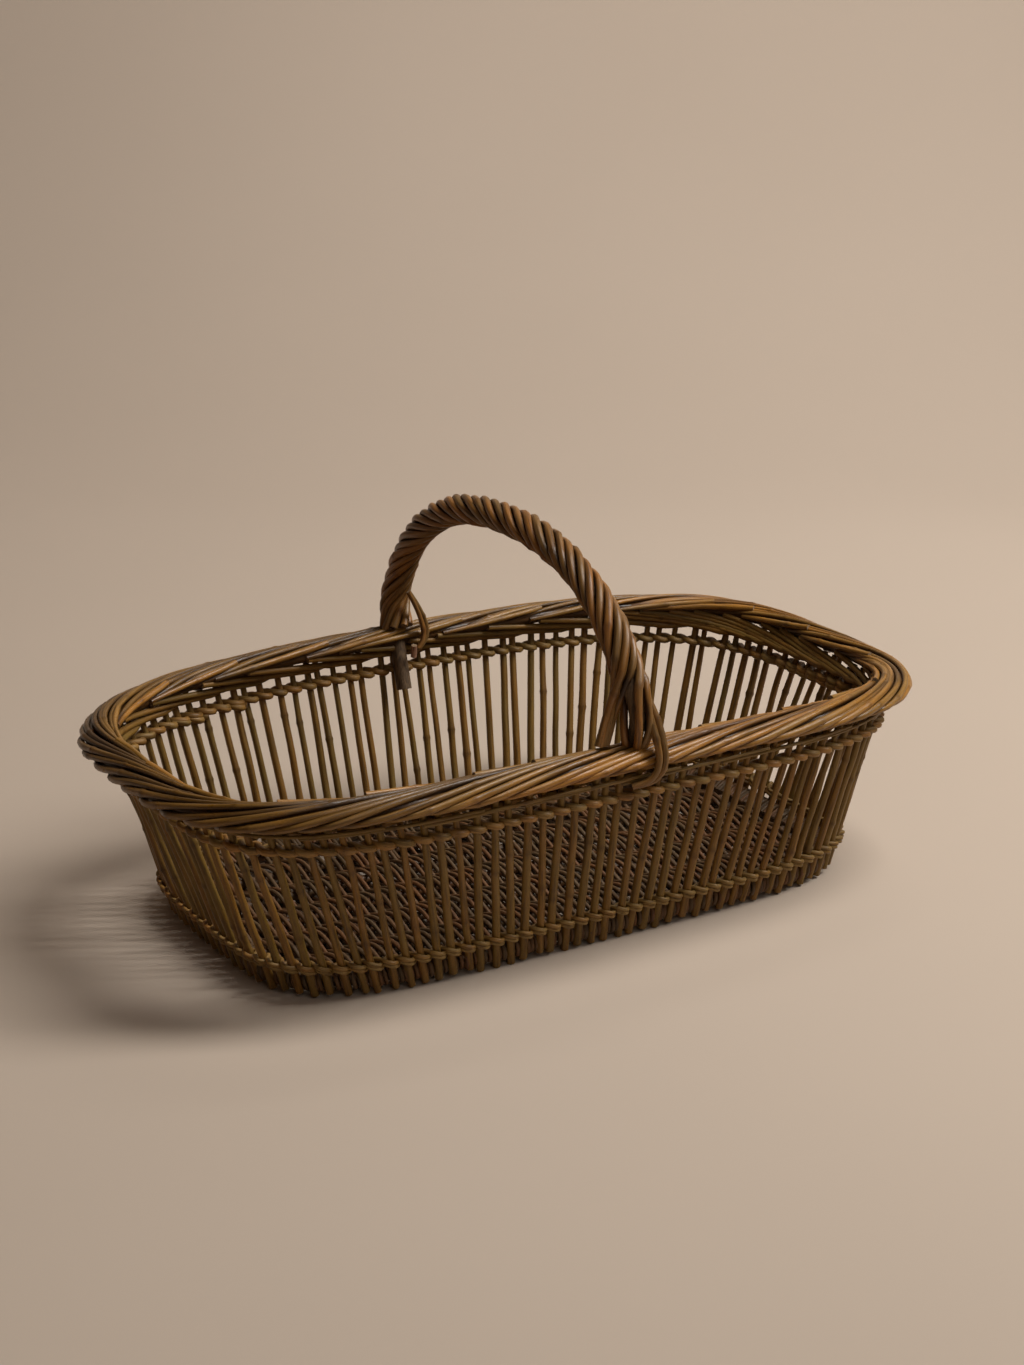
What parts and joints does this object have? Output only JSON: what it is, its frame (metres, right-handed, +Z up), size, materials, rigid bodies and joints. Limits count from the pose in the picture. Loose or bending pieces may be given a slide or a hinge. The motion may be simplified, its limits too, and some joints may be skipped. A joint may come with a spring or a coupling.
{
  "type": "vegetable basket",
  "caption": "Open willow basket, oblong with flared stake walls, a thick rolled border, a woven base and a fixed bow handle wrapped in twisted rods, for carrying vegetables.",
  "frame": {"origin": "centre of the footprint, on the plane the base stands on", "axes": "+X along the long side, +Y from the front to the back, +Z up; the handle crosses the basket in the plane x = 0"},
  "size_m": [0.64, 0.3748, 0.3009],
  "materials": {
    "stake_bark": "satin brown willow bark",
    "row_bark": "satin brown willow bark",
    "border_bark": "semi-gloss tan willow bark",
    "base_bark": "matte dark willow bark",
    "handle_bark": "satin reddish-brown willow bark",
    "core_wood": "matte weathered willow wood"
  },
  "bodies": {
    "root": {"stakes_01": "stake_bark", "stakes_02": "stake_bark", "stakes_03": "stake_bark", "stakes_04": "stake_bark", "stakes_05": "stake_bark", "stakes_06": "stake_bark", "stakes_07": "stake_bark", "stakes_08": "stake_bark", "stakes_09": "stake_bark", "stakes_10": "stake_bark", "stakes_11": "stake_bark", "stakes_12": "stake_bark", "stakes_13": "stake_bark", "stakes_14": "stake_bark", "stakes_15": "stake_bark", "stakes_16": "stake_bark", "stakes_17": "stake_bark", "stakes_18": "stake_bark", "stakes_19": "stake_bark", "stakes_20": "stake_bark", "stakes_21": "stake_bark", "stakes_22": "stake_bark", "stakes_23": "stake_bark", "stakes_24": "stake_bark", "lower_fitch_outer": "row_bark", "lower_fitch_inner": "row_bark", "upper_fitch_outer": "row_bark", "upper_fitch_inner": "row_bark", "wale_outer": "row_bark", "wale_inner": "row_bark", "base_hoop": "base_bark", "base_stick_1": "base_bark", "base_stick_2": "base_bark", "base_stick_3": "base_bark", "base_stick_4": "base_bark", "base_stick_5": "base_bark", "base_weaver_1": "base_bark", "base_weaver_2": "base_bark", "base_weaver_3": "base_bark", "base_weaver_4": "base_bark", "base_weaver_5": "base_bark", "base_weaver_6": "base_bark", "base_weaver_7": "base_bark", "base_weaver_8": "base_bark", "base_weaver_9": "base_bark", "border": "border_bark", "handle_wrap_1": "handle_bark", "handle_wrap_2": "handle_bark", "handle_wrap_3": "handle_bark", "handle_wrap_4": "handle_bark", "handle_wrap_5": "handle_bark", "handle_wrap_6": "handle_bark", "handle_wrap_7": "handle_bark", "handle_wrap_8": "handle_bark", "front_lashing_1": "handle_bark", "front_lashing_2": "handle_bark", "back_lashing_1": "handle_bark", "back_lashing_2": "handle_bark", "handle_core": "core_wood", "handle_peg": "core_wood"}
  },
  "joints": []
}
